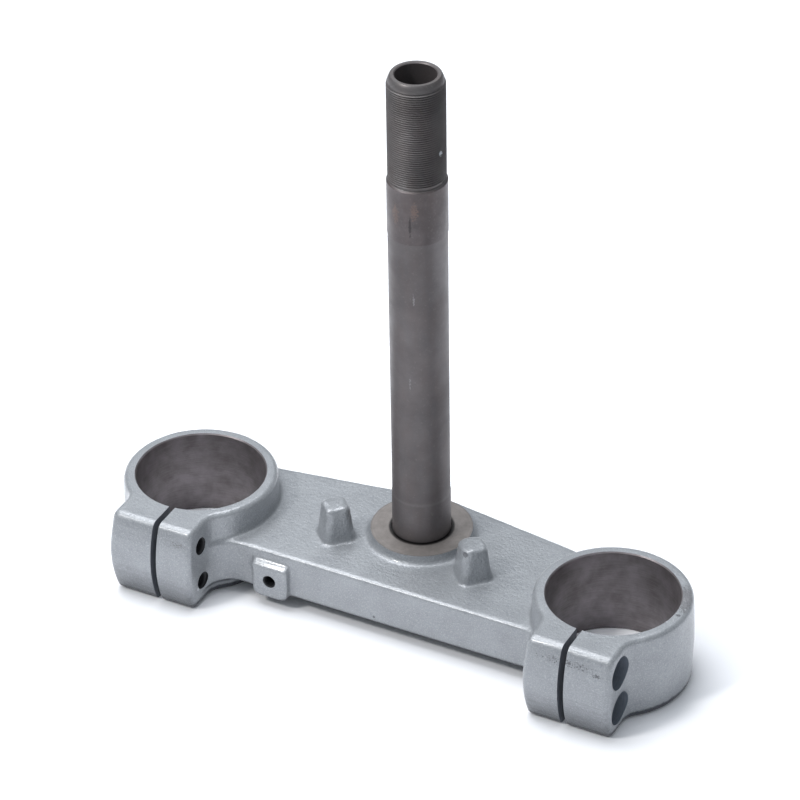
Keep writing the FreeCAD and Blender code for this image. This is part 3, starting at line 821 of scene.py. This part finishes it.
def dark_steel(name, low, high, rough, marks_width, wear):
    """Oil-darkened steel with turning marks round it, brown blotches and worn places; painted
    shade where it stands in the hub and a painted highlight along the lower seat's edge.
    """
    material, tree, shader, place = new_material(name, 0.55)
    marks = effect(tree, TURNING_MARKS, place, Width=marks_width)
    cloud = effect(tree, BLOOM, place, Width=16 * MM)
    rust = effect(tree, BLOOM, stretched(tree, place, (1, 1, 0.35)), Width=6 * MM)
    speck = grain(tree, place, 1.1 * MM, 3, 0.6)
    colour = mixed(tree, cloud, low, high)
    colour = mixed(tree, calc(tree, "MULTIPLY", rust, 0.16), colour, srgb(98, 80, 74))
    colour = mixed(tree, fade(tree, speck, 0.58, 0.75, 0, 0.3), colour, srgb(124, 120, 118))
    height_z = add(tree, "ShaderNodeSeparateXYZ", {0: place}).outputs[2]
    # Painted shade: the stem is darkened from half a millimetre above the hub's face downwards,
    # where it stands in the hub
    colour = mixed(tree, fade(tree, height_z, 0.5 * MM, 0, 0, 0.9), colour, GAP_SHADE)
    # Painted highlight: a lighter line along the lower seat's edge
    from_edge = calc(tree, "ABSOLUTE", calc(tree, "SUBTRACT", height_z, LOWER_SEAT_TOP))
    colour = mixed(tree, fade(tree, from_edge, MM, 0, 0, 0.15), colour, srgb(140, 136, 138))
    colour, worn = spotted(tree, place, colour, wear)
    roughness = fade(tree, cloud, 0, 1, rough + 0.06, rough - 0.06)
    height = calc(tree, "SUBTRACT", marks, worn)
    feed(tree, shader, colour, roughness, height, 0.02 * MM)
    return material


# Studio

FLOOR_WHITE = (0.93, 0.935, 0.96, 1)
FLOOR_HALF = 4.0


def floor_and_backdrop():
    """A pale floor that keeps the soft shadow under the clamps."""
    bm = bmesh.new()
    bmesh.ops.create_grid(bm, x_segments=1, y_segments=1, size=FLOOR_HALF,
                          matrix=Matrix.Translation((0, 0, floor_z)))
    material = bpy.data.materials.new("pale_floor")
    material.use_nodes = True
    tree = material.node_tree
    shader = tree.nodes["Principled BSDF"]
    shader.inputs["Roughness"].default_value = 0.9
    shader.inputs["Specular IOR Level"].default_value = 0.1
    shader.inputs["Base Color"].default_value = FLOOR_WHITE
    floor = new_piece("floor", bm, material)


def area_light(name, direction, distance, size, power, colour):
    """A round soft lamp that looks at the origin from a distance."""
    light = bpy.data.lights.new(name, "AREA")
    light.shape = "DISK"
    light.size = size
    light.energy = power
    light.color = colour
    lamp = bpy.data.objects.new(name, light)
    lamp.location = Vector(direction).normalized() * distance
    lamp.rotation_euler = Vector(direction).to_track_quat("Z", "Y").to_euler()
    bpy.context.scene.collection.objects.link(lamp)


# The room's light: its colour, its strength at the horizon and how it grows to the top
SKY_COLOUR = (0.88, 0.94, 1.0, 1)
SKY_LOW = 0.24
SKY_RISE = 0.62

# The side that is dimmer, and by what share
DARK_SIDE = Vector((0.88, 0.47, 0.0))
DARK_SHARE = 0.28


def studio():
    """A white room, dimmer on the right, with a broad lamp overhead and a small one in front."""
    world = bpy.data.worlds.new("white_room")
    world.use_nodes = True
    tree = world.node_tree
    background = tree.nodes["Background"]
    background.inputs["Color"].default_value = SKY_COLOUR
    way = add(tree, "ShaderNodeTexCoord").outputs["Generated"]
    up = add(tree, "ShaderNodeSeparateXYZ", {0: way}).outputs[2]
    aside = add(tree, "ShaderNodeVectorMath", {0: way, 1: DARK_SIDE},
                operation="DOT_PRODUCT").outputs["Value"]
    light = fade(tree, up, 0, 1, SKY_LOW, SKY_LOW + SKY_RISE)
    dim = fade(tree, aside, 0, 1, 1, 1 - DARK_SHARE)
    tree.links.new(calc(tree, "MULTIPLY", light, dim), background.inputs["Strength"])
    bpy.context.scene.world = world
    area_light("overhead", (-0.25, 0.11, 0.96), distance=1.15, size=0.95, power=12,
               colour=(0.97, 0.98, 1.0))
    area_light("glint", (-0.375, -0.54, 0.755), distance=3.0, size=0.42, power=31,
               colour=(1.0, 0.99, 0.97))


# The camera: place in metres, lens and sensor in mm, then its turns
CAMERA_PLACE = Vector((637.01, -1219.78, 1008.07)) * MM
CAMERA_LENS = 180.66
CAMERA_SENSOR = 36
CAMERA_NEAR = 0.05
CAMERA_HEADING = math.radians(27.923)
CAMERA_FALL = math.radians(34.426)
CAMERA_ROLL = math.radians(-0.971)


def camera():
    """The photograph's camera, worked out from the bores' ellipses."""
    data = bpy.data.cameras.new("camera")
    data.lens = CAMERA_LENS
    data.sensor_width = CAMERA_SENSOR
    data.clip_start = CAMERA_NEAR
    eye = bpy.data.objects.new("camera", data)
    eye.matrix_world = (Matrix.Translation(CAMERA_PLACE)
                        @ Matrix.Rotation(CAMERA_HEADING, 4, "Z")
                        @ Matrix.Rotation(math.pi / 2 - CAMERA_FALL, 4, "X")
                        @ Matrix.Rotation(CAMERA_ROLL, 4, "Z"))
    bpy.context.scene.collection.objects.link(eye)
    bpy.context.scene.camera = eye


# The object and its studio

yoke([cast_paint(), bored_metal(), faced_metal(), drilled_metal(), tapped_metal(), sawn_metal()])
steering_stem(
    dark_steel("tube_steel", low=srgb(91, 87, 88), high=srgb(101, 97, 98), rough=0.46,
               marks_width=0.4 * MM, wear=TUBE_WEAR),
    dark_steel("seat_steel", low=srgb(77, 72, 73), high=srgb(95, 89, 90), rough=0.4,
               marks_width=0.25 * MM, wear=SEAT_WEAR),
    dark_steel("thread_steel", low=srgb(88, 85, 85), high=srgb(107, 104, 104), rough=0.42,
               marks_width=0.3 * MM, wear=THREAD_WEAR),
)
floor_and_backdrop()
studio()
camera()
bpy.context.scene.view_settings.view_transform = "Standard"
